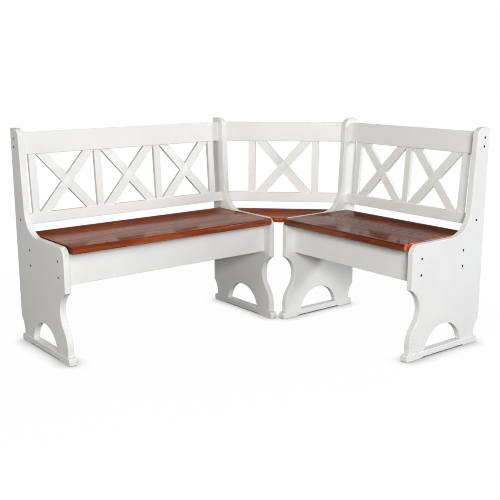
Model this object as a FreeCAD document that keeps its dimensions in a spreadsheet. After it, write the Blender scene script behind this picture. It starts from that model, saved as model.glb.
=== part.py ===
import FreeCAD, Part
import math
import os
import Sketcher
from FreeCAD import Placement, Rotation, Vector

# Corner storage bench: a long and a short bench at right angles, each with a hinged lid over a box,
# and a fixed corner seat with its own diagonal back between the two inner panels.
# Each unit has X along its length, its rear plane at Y = 0 and its front towards -Y.

doc = FreeCAD.newDocument("CornerBench")
sheet = doc.addObject("Spreadsheet::Sheet", "dims")

# Millimetres, and degrees for the angles. A depth counts forwards from a unit's rear plane,
# a height counts from the floor, and a rise counts from the top of the foot bar.
driving = {
    "long_length": 990, "short_length": 725, "corner_front_gap": 25, "total_height": 850,
    # end panels
    "panel_thick": 25, "panel_depth": 408, "arm_height": 443, "edge_ease": 2.5,
    "top_depth": 66.5, "top_round": 35, "front_lean": 3.3, "back_curve": 100, "arm_round": 35,
    "cove_radius": 90, "cove_bite": 50, "cove_height": 193, "toe_rise": 33,
    "arch_radius": 108, "arch_depth": 214.5, "arch_drop": 19.5,
    "heel_step": 26, "heel_radius": 89, "heel_rise": 8,
    # foot bars
    "foot_height": 27, "foot_proud": 3, "foot_rear_depth": 8, "foot_nose": 14,
    "foot_nose_round": 9, "foot_heel_round": 8, "foot_toe_round": 3,
    "foot_relief": 4.5, "foot_pad_length": 78, "foot_pad_slope": 14, "foot_ease": 2,
    # back frames
    "back_lean": 4.3, "back_depth": 61.4, "back_clearance": 31, "back_top_gap": 17,
    "rail_thick": 24, "lower_rail_height": 42, "top_rail_height": 85, "rail_ease": 2,
    "bay_width": 255, "stile_width": 30, "slat_thick": 15, "tenon_length": 12,
    "brace_end_length": 49, "slat_ease": 1, "joint_clearance": 0.2,
    # storage boxes and lids
    "seat_rise": 3, "seat_thick": 27, "seat_rear_depth": 55, "seat_overhang": 18,
    "seat_side_gap": 1.5, "seat_nose_round": 9, "seat_under_round": 4, "seat_ease": 2,
    "lid_rest_gap": 0.3, "apron_height": 126, "apron_thick": 20, "apron_ease": 2,
    "front_apron_setback": 41, "rear_apron_depth": 108,
    "floor_thick": 8, "floor_rise": 4, "floor_clearance": 0.5,
    "cleat_width": 18, "cleat_height": 15, "cleat_end_gap": 20,
    # lid hinges
    "knuckle_radius": 3, "pin_radius": 1.5, "pin_clearance": 0.05, "hinge_clearance": 0.3,
    "leaf_thick": 1.5, "leaf_width": 24, "hinge_length": 60, "hinge_inset": 120,
    # corner unit
    "corner_seat_thick": 20, "corner_seat_rear_depth": 45, "corner_seat_gap": 1,
    "corner_cleat_front_gap": 50, "corner_cleat_rear_gap": 80,
    # fasteners
    "bolt_radius": 2.5, "bolt_length": 55, "bolt_head_radius": 4.25, "bolt_head_height": 5,
    "bolt_sink": 7.5, "bolt_socket_radius": 2.3, "bolt_socket_depth": 2.5,
    "bore_clearance": 0.1, "head_clearance": 0.25, "bolt_bore_length": 42,
    "nut_radius": 5, "nut_length": 14, "nut_inset": 30, "drill_spare": 1,
    "apron_bolt_margin": 31, "apron_bolt_spacing": 62,
    "top_bolt_margin": 21, "top_bolt_spacing": 33,
    "screw_radius": 2, "screw_head_radius": 4, "screw_head_height": 3,
    "foot_screw_length": 50, "foot_screw_sink": 10, "foot_screw_spacing": 36,
    "frame_screw_length": 28, "rail_screw_stand": 9, "cleat_screw_sink": 6,
    "cleat_screw_inset": 50,
}
for row, (alias, number) in enumerate(driving.items(), start=1):
    sheet.set("A%d" % row, alias.replace("_", " "))
    sheet.set("B%d" % row, str(number))
    sheet.setAlias("B%d" % row, alias)
doc.recompute()


class Size:
    """A number together with the sheet expression that it comes from."""

    def __init__(self, value, text):
        self.value = float(value)
        self.text = text

    def __add__(self, other):
        return joined(self, "+", other)

    def __radd__(self, other):
        return joined(other, "+", self)

    def __sub__(self, other):
        return joined(self, "-", other)

    def __rsub__(self, other):
        return joined(other, "-", self)

    def __mul__(self, other):
        return joined(self, "*", other)

    def __rmul__(self, other):
        return joined(other, "*", self)

    def __truediv__(self, other):
        return joined(self, "/", other)

    def __neg__(self):
        return joined(0, "-", self)


def as_size(item):
    return item if isinstance(item, Size) else Size(item, repr(item))


def joined(left, sign, right):
    left, right = as_size(left), as_size(right)
    if sign == "+":
        value = left.value + right.value
    elif sign == "-":
        value = left.value - right.value
    elif sign == "*":
        value = left.value * right.value
    else:
        value = left.value / right.value
    return Size(value, "(%s %s %s)" % (left.text, sign, right.text))


def root(size):
    return Size(math.sqrt(size.value), "sqrt(%s)" % size.text)


def cosine(size):
    return Size(math.cos(math.radians(size.value)), "cos(%s)" % size.text)


def sine(size):
    return Size(math.sin(math.radians(size.value)), "sin(%s)" % size.text)


class Dims:
    """Gives each cell of the sheet by its alias."""

    def __getattr__(self, alias):
        return Size(sheet.get(alias), "dims." + alias)


d = Dims()


class Place:
    """A placement and its live expression. Places multiply from the outside in."""

    def __init__(self, text, value):
        self.text = text
        self.value = value

    def __mul__(self, other):
        return Place(self.text + " * " + other.text, self.value.multiply(other.value))


def at(x=0, y=0, z=0, axis=(0, 0, 1), angle=0):
    x, y, z, angle = as_size(x), as_size(y), as_size(z), as_size(angle)
    turn = "rotation(vector(%g; %g; %g); %s)" % (*axis, angle.text)
    text = "placement(vector(%s; %s; %s); %s)" % (x.text, y.text, z.text, turn)
    return Place(text, Placement(Vector(x.value, y.value, z.value), Rotation(Vector(*axis), angle.value)))


# Building blocks for the bodies.

def new_body(label):
    body = doc.addObject("PartDesign::Body", label)
    body.Label = label
    return body


def new_sketch(body, role, offset=None):
    """A sketch on one of the body's origin planes, moved along that plane's normal by offset."""
    sketch = body.newObject("Sketcher::SketchObject", body.Name + "_sketch")
    plane = [item for item in body.Origin.OriginFeatures if item.Role == role][0]
    sketch.AttachmentSupport = [(plane, "")]
    sketch.MapMode = "FlatFace"
    if offset is not None:
        sketch.AttachmentOffset = Placement(Vector(0, 0, as_size(offset).value), Rotation())
        sketch.setExpression("AttachmentOffset.Base.z", as_size(offset).text)
    sketch.Visibility = False
    return sketch


def bind_constraint(sketch, constraint, size):
    index = sketch.addConstraint(constraint)
    sketch.setExpression("Constraints[%d]" % index, size.text)


def arc_between(start, end, radius):
    """The short arc from start to end, counter-clockwise for a positive radius."""
    if radius < 0:
        start, end, radius = end, start, -radius
    half = (end - start) * 0.5
    across = Vector(-half.y, half.x, 0).normalize()
    centre = start + half + across * math.sqrt(max(radius ** 2 - half.Length ** 2, 0.0))
    arc_circle = Part.Circle(centre, Vector(0, 0, 1), radius)
    return Part.ArcOfCircle(arc_circle, arc_circle.parameter(start), arc_circle.parameter(end))


def outline(sketch, corners):
    """A closed loop through corners (x, y), or (x, y, signed radius of the arc to the next one)."""
    sizes = []
    for corner in corners:
        bend = as_size(corner[2]) if len(corner) > 2 else None
        sizes.append((as_size(corner[0]), as_size(corner[1]), bend))
    points = [Vector(x.value, y.value, 0) for x, y, bend in sizes]
    first = sketch.GeometryCount
    count = len(points)
    ends = []
    for i, (x, y, bend) in enumerate(sizes):
        start, end = points[i], points[(i + 1) % count]
        if bend is None:
            sketch.addGeometry(Part.LineSegment(start, end), False)
            ends.append((1, 2))
            continue
        sketch.addGeometry(arc_between(start, end, bend.value), False)
        ends.append((1, 2) if bend.value > 0 else (2, 1))
        radius = bend if bend.value > 0 else -bend
        bind_constraint(sketch, Sketcher.Constraint("Radius", first + i, radius.value), radius)
    for i in range(count):
        after = (i + 1) % count
        meeting = (first + i, ends[i][1], first + after, ends[after][0])
        sketch.addConstraint(Sketcher.Constraint("Coincident", *meeting))
    for i, (x, y, bend) in enumerate(sizes):
        corner = (first + i, ends[i][0])
        bind_constraint(sketch, Sketcher.Constraint("DistanceX", -1, 1, *corner, x.value), x)
        bind_constraint(sketch, Sketcher.Constraint("DistanceY", -1, 1, *corner, y.value), y)


def rectangle(sketch, low_x, high_x, low_y, high_y):
    outline(sketch, [(low_x, low_y), (high_x, low_y), (high_x, high_y), (low_x, high_y)])


def circle(sketch, x, y, radius):
    x, y, radius = as_size(x), as_size(y), as_size(radius)
    shape = Part.Circle(Vector(x.value, y.value, 0), Vector(0, 0, 1), radius.value)
    index = sketch.addGeometry(shape, False)
    bind_constraint(sketch, Sketcher.Constraint("Radius", index, radius.value), radius)
    bind_constraint(sketch, Sketcher.Constraint("DistanceX", -1, 1, index, 3, x.value), x)
    bind_constraint(sketch, Sketcher.Constraint("DistanceY", -1, 1, index, 3, y.value), y)


def extrude(kind, body, sketch, length, backwards, both_ways):
    feature = body.newObject("PartDesign::" + kind, body.Name + "_" + kind.lower())
    feature.Profile = sketch
    feature.setExpression("Length", as_size(length).text)
    if both_ways:
        feature.SideType = "Symmetric"
    feature.Reversed = backwards
    doc.recompute()
    return feature


def pad(body, sketch, length, backwards=False, both_ways=False):
    """Grows along the sketch's normal, or against it when backwards."""
    return extrude("Pad", body, sketch, length, backwards, both_ways)


def pocket(body, sketch, length, backwards=False, both_ways=False):
    """Cuts against the sketch's normal, or along it when backwards."""
    before = body.Shape.Volume
    feature = extrude("Pocket", body, sketch, length, backwards, both_ways)
    if body.Shape.Volume > before - 0.01:
        raise RuntimeError(body.Label + ": a pocket removes nothing")
    return feature


def revolve(body, sketch):
    """Turns a sketch on the XZ plane about its own vertical axis."""
    feature = body.newObject("PartDesign::Revolution", body.Name + "_turn")
    feature.Profile = sketch
    feature.ReferenceAxis = (sketch, ["V_Axis"])
    feature.Angle = 360
    doc.recompute()
    return feature


def ease(kind, body, base, chosen, size):
    """Chamfers or rounds the edges of the base that the test chooses."""
    names = ["Edge%d" % (i + 1) for i, edge in enumerate(base.Shape.Edges) if chosen(edge)]
    if not names:
        raise RuntimeError(body.Label + ": no edge to ease")
    feature = body.newObject("PartDesign::" + kind, body.Name + "_" + kind.lower())
    feature.Base = (base, names)
    feature.setExpression("Size" if kind == "Chamfer" else "Radius", size.text)
    doc.recompute()
    return feature


def runs_along_x(edge):
    box = edge.BoundBox
    return box.XLength > 1 and max(box.YLength, box.ZLength) < 0.001


def runs_along_z(edge):
    box = edge.BoundBox
    return box.ZLength > 1 and max(box.XLength, box.YLength) < 0.001


def lies_across_x(edge):
    return edge.BoundBox.XLength < 0.001


sub_parts = []


def finish(item, place):
    item.setExpression("Placement", place.text)
    doc.recompute()
    sub_parts.append(item)
    return item


def group(label, master, places):
    """One sub-part of equal, separate solids, each a copy of the master piece."""
    shapes = []
    for place in places:
        shape = master.Shape.copy()
        shape.Placement = place.value
        shapes.append(shape)
    feature = doc.addObject("Part::Feature", label)
    feature.Label = label
    feature.Shape = Part.makeCompound(shapes)
    sub_parts.append(feature)
    return feature


# Places of the three units: the origin is the middle of the footprint, on the floor.
diagonal = root(as_size(2))
corner_offset = d.panel_depth + d.corner_front_gap
corner_x = (d.long_length + d.foot_proud - corner_offset) / 2
corner_y = (corner_offset + d.short_length + d.foot_proud) / 2
long_place = at(corner_x - d.long_length / 2, corner_y)
short_place = at(corner_x + corner_offset, corner_y - corner_offset - d.short_length / 2, angle=-90)
corner_place = at(corner_x + corner_offset / 2, corner_y - corner_offset / 2, angle=-45)
half_diagonal = corner_offset / diagonal

# A back frame stands in its own leaning plane: X along the unit, Y = 0 at the rails' front faces,
# and Z up the frame from the lower rail's bottom edge.
seat_height = d.arm_height + d.seat_rise
back_base = seat_height + d.back_clearance
back_place = at(0, -d.back_depth, back_base, (1, 0, 0), -d.back_lean)
frame_height = (d.total_height - d.back_top_gap - back_base) / cosine(d.back_lean)
bay_height = frame_height - d.lower_rail_height - d.top_rail_height
bay_top = d.lower_rail_height + bay_height
rail_middle = d.rail_thick / 2
slat_front = (d.rail_thick - d.slat_thick) / 2
pitch = d.bay_width + d.stile_width
top_bolt_rises = [d.top_rail_height - d.top_bolt_margin,
                  d.top_rail_height - d.top_bolt_margin - d.top_bolt_spacing]
lower_bolt_rise = d.lower_rail_height / 2

# The lid rests just above the aprons, and its hinge axis runs behind and below its own corner there.
lid_bottom = seat_height - d.seat_thick
apron_top = lid_bottom - d.lid_rest_gap
apron_bottom = apron_top - d.apron_height
apron_bolt_rises = [d.apron_height - d.apron_bolt_margin,
                    d.apron_height - d.apron_bolt_margin - d.apron_bolt_spacing]
hinge_offset = d.knuckle_radius + d.hinge_clearance
hinge_depth = d.rear_apron_depth - hinge_offset
hinge_height = lid_bottom - hinge_offset
front_apron_depth = d.panel_depth - d.front_apron_setback

# The two legs of a panel, between the heel or toe and the arch.
arch_height = d.foot_height - d.arch_drop
arch_half = root(d.arch_radius * d.arch_radius - d.arch_drop * d.arch_drop)
rear_leg_depth = (d.heel_step + d.arch_depth - arch_half) / 2
front_leg_depth = (d.panel_depth + d.arch_depth + arch_half) / 2
leg_screw_depths = [rear_leg_depth - d.foot_screw_spacing / 2, rear_leg_depth + d.foot_screw_spacing / 2,
                    front_leg_depth - d.foot_screw_spacing / 2, front_leg_depth + d.foot_screw_spacing / 2]


def back_point(inward, up):
    """Y and Z, in the unit's upright frame, of a point in the leaning frame."""
    y = inward * cosine(d.back_lean) + up * sine(d.back_lean) - d.back_depth
    z = back_base + up * cosine(d.back_lean) - inward * sine(d.back_lean)
    return y, z


rail_bolt_spots = [back_point(rail_middle, bay_top + rise) for rise in top_bolt_rises]
rail_bolt_spots.append(back_point(rail_middle, lower_bolt_rise))
front_apron_middle = front_apron_depth - d.apron_thick / 2
rear_apron_middle = d.rear_apron_depth + d.apron_thick / 2
apron_bolt_spots = [(-depth, apron_bottom + rise)
                    for depth in (front_apron_middle, rear_apron_middle) for rise in apron_bolt_rises]
bolt_spots = rail_bolt_spots + apron_bolt_spots

# Where the corner unit is screwed to an inner panel's outer face.
corner_rail_spots = [(y * diagonal, z) for y, z in rail_bolt_spots]
corner_seat_bottom = d.arm_height - d.corner_seat_thick
cleat_middle = corner_seat_bottom - d.cleat_height / 2
cleat_rear = d.corner_cleat_rear_gap
cleat_front = d.panel_depth - d.corner_cleat_front_gap
cleat_spots = [(-(cleat_rear + d.cleat_screw_inset), cleat_middle),
               (-(cleat_front - d.cleat_screw_inset), cleat_middle)]


def panel_corners():
    """The sawn outline of a panel, as Y and Z, from the top rear corner forwards and down."""
    lean_sine, lean_cosine = sine(d.front_lean), cosine(d.front_lean)
    lean_slope = lean_sine / lean_cosine
    top_centre = d.top_depth + d.top_round * lean_slope - d.top_round / lean_cosine
    curve_drop = d.total_height - d.arm_height - d.back_curve
    curve_centre = d.top_depth + curve_drop * lean_slope + d.back_curve / lean_cosine
    cove_out = d.cove_radius - d.cove_bite
    cove_reach = root(d.cove_radius * d.cove_radius - cove_out * cove_out)
    toe_height = d.foot_height + d.toe_rise
    toe_drop = d.cove_height - toe_height
    radii = (d.cove_bite * d.cove_bite + toe_drop * toe_drop) / (2 * d.cove_bite)
    toe_radius = radii - d.cove_radius
    share = d.cove_radius / radii
    meet_depth = d.panel_depth + cove_out - share * (radii - d.cove_bite)
    meet_height = d.cove_height - share * toe_drop
    heel_bottom = d.foot_height + d.heel_rise
    heel_out = d.heel_radius - d.heel_step
    heel_top = heel_bottom + root(d.heel_radius * d.heel_radius - heel_out * heel_out)
    return [
        (0, d.total_height),
        (-top_centre, d.total_height, d.top_round),
        (-(top_centre + d.top_round * lean_cosine), d.total_height - d.top_round * (1 - lean_sine)),
        (-(curve_centre - d.back_curve * lean_cosine),
         d.arm_height + d.back_curve * (1 - lean_sine), -d.back_curve),
        (-curve_centre, d.arm_height),
        (-(d.panel_depth - d.arm_round), d.arm_height, d.arm_round),
        (-d.panel_depth, d.arm_height - d.arm_round),
        (-d.panel_depth, d.cove_height + cove_reach, -d.cove_radius),
        (-meet_depth, meet_height, toe_radius),
        (-d.panel_depth, toe_height),
        (-d.panel_depth, d.foot_height),
        (-(d.arch_depth + arch_half), d.foot_height, -d.arch_radius),
        (-(d.arch_depth - arch_half), d.foot_height),
        (-d.heel_step, d.foot_height),
        (-d.heel_step, heel_bottom, -d.heel_radius),
        (0, heel_top),
    ]


def panel(label, place, faces, corner_spots):
    """A panel whose outer face lies at X = 0 and faces -X or +X."""
    body = new_body(label)
    profile = new_sketch(body, "YZ_Plane")
    outline(profile, panel_corners())
    plate = pad(body, profile, d.panel_thick, backwards=faces > 0)
    bottom = d.foot_height.value + 0.01
    ease("Chamfer", body, plate, lambda edge: lies_across_x(edge) and edge.BoundBox.ZMax > bottom,
         d.edge_ease)
    inwards = faces < 0
    bores = new_sketch(body, "YZ_Plane")
    sinks = new_sketch(body, "YZ_Plane")
    for y, z in bolt_spots:
        circle(bores, y, z, d.bolt_radius + d.bore_clearance)
        circle(sinks, y, z, d.bolt_head_radius + d.head_clearance)
    pocket(body, bores, d.panel_thick, backwards=inwards)
    pocket(body, sinks, d.bolt_sink, backwards=inwards)
    if corner_spots:
        pilots = new_sketch(body, "YZ_Plane")
        for y, z in corner_rail_spots + cleat_spots:
            circle(pilots, y, z, d.screw_radius + d.bore_clearance)
        face_pilot = d.frame_screw_length - d.rail_screw_stand + d.drill_spare
        pocket(body, pilots, face_pilot, backwards=inwards)
    legs = new_sketch(body, "XY_Plane", d.foot_height)
    for depth in leg_screw_depths:
        circle(legs, -faces * d.panel_thick / 2, -depth, d.screw_radius + d.bore_clearance)
    leg_pilot = d.foot_screw_length - d.foot_height + d.foot_screw_sink + d.drill_spare
    pocket(body, legs, leg_pilot, backwards=True)
    return finish(body, place)


def foot_bar(label, place):
    """A bar under both legs, relieved between its two end pads."""
    body = new_body(label)
    profile = new_sketch(body, "YZ_Plane")
    front = d.panel_depth + d.foot_nose
    rear = d.foot_rear_depth
    nose, heel, toe = d.foot_nose_round, d.foot_heel_round, d.foot_toe_round
    outline(profile, [
        (-(rear + heel), d.foot_height),
        (-(front - nose), d.foot_height, nose),
        (-front, d.foot_height - nose),
        (-front, toe, toe),
        (-(front - toe), 0),
        (-(front - d.foot_pad_length), 0),
        (-(front - d.foot_pad_length - d.foot_pad_slope), d.foot_relief),
        (-(rear + d.foot_pad_length + d.foot_pad_slope), d.foot_relief),
        (-(rear + d.foot_pad_length), 0),
        (-(rear + heel), 0, heel),
        (-rear, heel),
        (-rear, d.foot_height - heel, heel),
    ])
    bar = pad(body, profile, d.panel_thick + 2 * d.foot_proud, both_ways=True)
    ease("Chamfer", body, bar, lies_across_x, d.foot_ease)
    bores = new_sketch(body, "XY_Plane")
    sinks = new_sketch(body, "XY_Plane")
    for depth in leg_screw_depths:
        circle(bores, 0, -depth, d.screw_radius + d.bore_clearance)
        circle(sinks, 0, -depth, d.screw_head_radius + d.head_clearance)
    pocket(body, bores, d.foot_height, backwards=True)
    pocket(body, sinks, d.foot_screw_sink, backwards=True)
    return finish(body, place)


def board(label, place, length, thick, height, bolt_rises, nuts_behind, size):
    """A rail or apron between two panels: X centred, Y = 0 at the front face, Z = 0 at the bottom.
    At each end it has bores for the bolts, and cross bores for their nuts from one face."""
    body = new_body(label)
    profile = new_sketch(body, "YZ_Plane")
    rectangle(profile, 0, thick, 0, height)
    plank = pad(body, profile, length, both_ways=True)
    ease("Chamfer", body, plank, runs_along_x, size)
    for side in (-1, 1):
        bores = new_sketch(body, "YZ_Plane", side * length / 2)
        for rise in bolt_rises:
            circle(bores, thick / 2, rise, d.bolt_radius + d.bore_clearance)
        pocket(body, bores, d.bolt_bore_length, backwards=side < 0)
    nuts = new_sketch(body, "XZ_Plane", -thick if nuts_behind else 0)
    for side in (-1, 1):
        for rise in bolt_rises:
            circle(nuts, side * (length / 2 - d.nut_inset), rise, d.nut_radius + d.bore_clearance)
    pocket(body, nuts, (thick + d.nut_length) / 2, backwards=nuts_behind)
    finish(body, place)
    return body


def spread(count, step):
    return [(i - (count - 1) / 2) * step for i in range(count)]


def mortise(body, height, stiles, upwards):
    """Housings for the stiles in a rail's top face, or in its bottom face when upwards."""
    cuts = new_sketch(body, "XY_Plane", height)
    slack = d.joint_clearance
    for x in spread(stiles, pitch):
        rectangle(cuts, x - d.stile_width / 2 - slack, x + d.stile_width / 2 + slack,
                  slat_front - slack, slat_front + d.slat_thick + slack)
    pocket(body, cuts, d.tenon_length, backwards=upwards)
    doc.recompute()


def stile(label, place):
    """An upright slat whose two ends are housed in the rails."""
    body = new_body(label)
    profile = new_sketch(body, "XY_Plane", d.joint_clearance - d.tenon_length)
    rectangle(profile, -d.stile_width / 2, d.stile_width / 2, 0, d.slat_thick)
    slat = pad(body, profile, bay_height + 2 * (d.tenon_length - d.joint_clearance))
    ease("Chamfer", body, slat, runs_along_z, d.slat_ease)
    return finish(body, place)


def brace_corners(lean, slack):
    """A slanted slat from corner to corner of a bay: lean +1 rises to the right, -1 falls."""
    reach = d.bay_width / 2 - d.joint_clearance
    low_outer, low_inner = -lean * (reach + slack), -lean * (reach - d.brace_end_length - slack)
    high_inner, high_outer = -low_inner, -low_outer
    corners = [(low_outer, 0), (low_inner, 0), (high_outer, bay_height), (high_inner, bay_height)]
    return corners if lean > 0 else corners[::-1]


def brace(label, place, lean):
    """One arm of a cross, halved where it meets the other arm."""
    body = new_body(label)
    profile = new_sketch(body, "XZ_Plane")
    outline(profile, brace_corners(lean, 0))
    slat = pad(body, profile, d.slat_thick, backwards=True)
    slanted = lambda edge: edge.BoundBox.ZLength > 1 and edge.BoundBox.XLength > 1
    ease("Chamfer", body, slat, slanted, d.slat_ease)
    notch = new_sketch(body, "XZ_Plane", -d.slat_thick / 2)
    outline(notch, brace_corners(-lean, d.joint_clearance))
    pocket(body, notch, d.slat_thick / 2, backwards=lean > 0)
    return finish(body, place)


def slats(prefix, unit_place, stiles):
    """The stiles and crosses of a back frame."""
    frame = unit_place * back_place
    for i, x in enumerate(spread(stiles, pitch), start=1):
        stile("%s_stile_%d" % (prefix, i), frame * at(x, slat_front, d.lower_rail_height))
    for i, x in enumerate(spread(stiles - 1, pitch), start=1):
        spot = frame * at(x, slat_front, d.lower_rail_height)
        brace("%s_brace_%d_rising" % (prefix, i), spot, 1)
        brace("%s_brace_%d_falling" % (prefix, i), spot, -1)


def lid(label, place, opening):
    """The whole seat board, which lifts as the lid of the box."""
    body = new_body(label)
    profile = new_sketch(body, "YZ_Plane")
    front = d.panel_depth + d.seat_overhang
    rectangle(profile, -front, -d.seat_rear_depth, lid_bottom, seat_height)
    plank = pad(body, profile, opening - 2 * d.seat_side_gap, both_ways=True)
    in_front = lambda edge: runs_along_x(edge) and edge.BoundBox.YMax < 0.01 - front.value
    upper = lambda edge: in_front(edge) and edge.BoundBox.ZMin > seat_height.value - 0.01
    lower = lambda edge: in_front(edge) and edge.BoundBox.ZMax < lid_bottom.value + 0.01
    nose = ease("Fillet", body, plank, upper, d.seat_nose_round)
    under = ease("Fillet", body, nose, lower, d.seat_under_round)
    ease("Chamfer", body, under, lies_across_x, d.seat_ease)
    return finish(body, place)


def hinge_leaf(label, fixed):
    """One leaf about the X axis, with the two outer knuckles (fixed) or the middle one."""
    body = new_body(label)
    plate = new_sketch(body, "YZ_Plane")
    if fixed:
        rectangle(plate, -hinge_offset, d.leaf_thick - hinge_offset, -d.leaf_width, 0)
    else:
        rectangle(plate, 0, d.leaf_width, hinge_offset - d.leaf_thick, hinge_offset)
    pad(body, plate, d.hinge_length, both_ways=True)
    barrel = new_sketch(body, "YZ_Plane")
    circle(barrel, 0, 0, d.knuckle_radius)
    pad(body, barrel, d.hinge_length, both_ways=True)
    share = d.hinge_length / 3
    if fixed:
        middle = new_sketch(body, "YZ_Plane")
        rectangle(middle, -hinge_offset, hinge_offset, -hinge_offset, hinge_offset)
        pocket(body, middle, share, both_ways=True)
    else:
        for side in (-1, 1):
            outer = new_sketch(body, "YZ_Plane", side * (share / 2 - d.hinge_clearance))
            rectangle(outer, -hinge_offset, hinge_offset, -hinge_offset, hinge_offset)
            pocket(body, outer, d.hinge_length, backwards=side > 0)
    bore = new_sketch(body, "YZ_Plane")
    circle(bore, 0, 0, d.pin_radius + d.pin_clearance)
    pocket(body, bore, d.hinge_length + d.drill_spare, both_ways=True)
    return body


def box(label, length, width, height):
    solid = doc.addObject("Part::Box", label)
    solid.Label = label
    solid.setExpression("Length", length.text)
    solid.setExpression("Width", width.text)
    solid.setExpression("Height", height.text)
    doc.recompute()
    return solid


def cylinder(label, radius, height, place=None):
    solid = doc.addObject("Part::Cylinder", label)
    solid.Label = label
    solid.setExpression("Radius", radius.text)
    solid.setExpression("Height", height.text)
    if place is not None:
        solid.setExpression("Placement", place.text)
    doc.recompute()
    return solid


def screw(label, length):
    """A pan-head screw with its head's underside at Z = 0 and its tip downwards."""
    body = new_body(label)
    profile = new_sketch(body, "XZ_Plane")
    outline(profile, [
        (0, -length),
        (d.screw_radius, 2 * d.screw_radius - length),
        (d.screw_radius, 0),
        (d.screw_head_radius, 0),
        (d.screw_head_radius, d.screw_head_height),
        (0, d.screw_head_height),
    ])
    revolve(body, profile)
    return body


# The two benches. "inner" is the side of the corner: +1 for the long bench, -1 for the short one.

fixed_leaf = hinge_leaf("fixed_leaf", True)
lid_leaf = hinge_leaf("lid_leaf", False)
pin = cylinder("pin", d.pin_radius, d.hinge_length)
bolt_places, nut_places, foot_screw_places, frame_screw_places = [], [], [], []


def bench(prefix, place, length, inner, stiles, hinges):
    opening = length - 2 * d.panel_thick
    ends = (("end", -inner), ("inner", inner))
    for name, side in ends:
        panel("%s_%s_panel" % (prefix, name), place * at(side * length / 2), side, name == "inner")
        middle = side * (length - d.panel_thick) / 2
        foot_bar("%s_%s_foot" % (prefix, name), place * at(middle))
        for depth in leg_screw_depths:
            spot = at(middle, -depth, d.foot_screw_sink, (1, 0, 0), 180)
            foot_screw_places.append(place * spot)
        for y, z in bolt_spots:
            spot = at(side * (length / 2 - d.bolt_sink), y, z, (0, 1, 0), 90 * side)
            bolt_places.append(place * spot)

    back = place * back_place
    lower = board(prefix + "_lower_rail", back, opening, d.rail_thick, d.lower_rail_height,
                  [lower_bolt_rise], True, d.rail_ease)
    mortise(lower, d.lower_rail_height, stiles, False)
    top = board(prefix + "_top_rail", back * at(0, 0, bay_top), opening, d.rail_thick,
                d.top_rail_height, top_bolt_rises, True, d.rail_ease)
    mortise(top, 0, stiles, True)
    slats(prefix, place, stiles)

    front_place = place * at(0, -front_apron_depth, apron_bottom)
    rear_place = place * at(0, -(d.rear_apron_depth + d.apron_thick), apron_bottom)
    board(prefix + "_front_apron", front_place, opening, d.apron_thick, d.apron_height,
          apron_bolt_rises, True, d.apron_ease)
    board(prefix + "_rear_apron", rear_place, opening, d.apron_thick, d.apron_height,
          apron_bolt_rises, False, d.apron_ease)

    for side in (-1, 1):
        x = side * (opening / 2 - d.nut_inset)
        upright = [(back, rail_middle, lower_bolt_rise)]
        upright += [(back, rail_middle, bay_top + rise) for rise in top_bolt_rises]
        for apron_place in (front_place, rear_place):
            upright += [(apron_place, d.apron_thick / 2, rise) for rise in apron_bolt_rises]
        for base, y, z in upright:
            nut_places.append(base * at(x, y, z, (1, 0, 0), 90))

    inner_front = front_apron_depth - d.apron_thick
    inner_rear = d.rear_apron_depth + d.apron_thick
    slack = d.floor_clearance
    floor_height = apron_bottom + d.floor_rise + d.cleat_height
    floor = box(prefix + "_box_floor", opening - 2 * slack, inner_front - inner_rear - 2 * slack,
                d.floor_thick)
    finish(floor, place * at(slack - opening / 2, slack - inner_front, floor_height))
    cleat = box(prefix + "_cleat", opening - 2 * d.cleat_end_gap, d.cleat_width, d.cleat_height)
    cleat_x = d.cleat_end_gap - opening / 2
    cleat_z = apron_bottom + d.floor_rise
    group(prefix + "_floor_cleats", cleat, [
        place * at(cleat_x, -inner_front, cleat_z),
        place * at(cleat_x, -(inner_rear + d.cleat_width), cleat_z)])

    lid(prefix + "_lid", place, opening)
    reach = opening / 2 - d.hinge_inset
    spots = [place * at(2 * i / (hinges - 1) * reach - reach, -hinge_depth, hinge_height)
             for i in range(hinges)]
    group(prefix + "_hinge_fixed_leaves", fixed_leaf, spots)
    group(prefix + "_hinge_lid_leaves", lid_leaf, spots)
    upend = at(-d.hinge_length / 2, 0, 0, (0, 1, 0), 90)
    group(prefix + "_hinge_pins", pin, [spot * upend for spot in spots])


bench("long", long_place, d.long_length, 1, 4, 3)
bench("short", short_place, d.short_length, -1, 3, 2)

# The corner unit stands between the outer faces of the two inner panels.

long_face = long_place * at(d.long_length / 2)
short_face = short_place * at(-d.short_length / 2)
panel_faces = [(long_face, 1), (short_face, -1)]


def corner_rail(label, height, rail_height, mortise_height, spots):
    """A rail cut off square to the two panels, with bores for its slanting screws."""
    body = new_body(label + "_blank")
    profile = new_sketch(body, "YZ_Plane")
    rectangle(profile, 0, d.rail_thick, 0, rail_height)
    plank = pad(body, profile, 2 * half_diagonal, both_ways=True)
    ease("Chamfer", body, plank, runs_along_x, d.rail_ease)
    mortise(body, mortise_height, 2, mortise_height == 0)
    body.setExpression("Placement", (corner_place * back_place * at(0, 0, height)).text)
    room = box(label + "_room", corner_offset, corner_offset, d.total_height)
    room.setExpression("Placement", at(corner_x, corner_y - corner_offset).text)
    mitred = doc.addObject("Part::Common", label + "_mitred")
    mitred.Base, mitred.Tool = body, room
    drills = []
    for face, side in panel_faces:
        for y, z in spots:
            start = face * at(0, y, z, (0, 1, 0), side * 90)
            seat = face * at(side * d.rail_screw_stand, y, z, (0, 1, 0), side * 90)
            drills.append(cylinder(label + "_bore", d.screw_radius + d.bore_clearance,
                                   d.rail_screw_stand + d.drill_spare, start))
            drills.append(cylinder(label + "_sink", d.screw_head_radius + d.head_clearance,
                                   2 * d.rail_thick, seat))
            frame_screw_places.append(seat)
    drilling = doc.addObject("Part::MultiFuse", label + "_drilling")
    drilling.Shapes = drills
    rail = doc.addObject("Part::Cut", label)
    rail.Label = label
    rail.Base, rail.Tool = mitred, drilling
    doc.recompute()
    sub_parts.append(rail)


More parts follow.
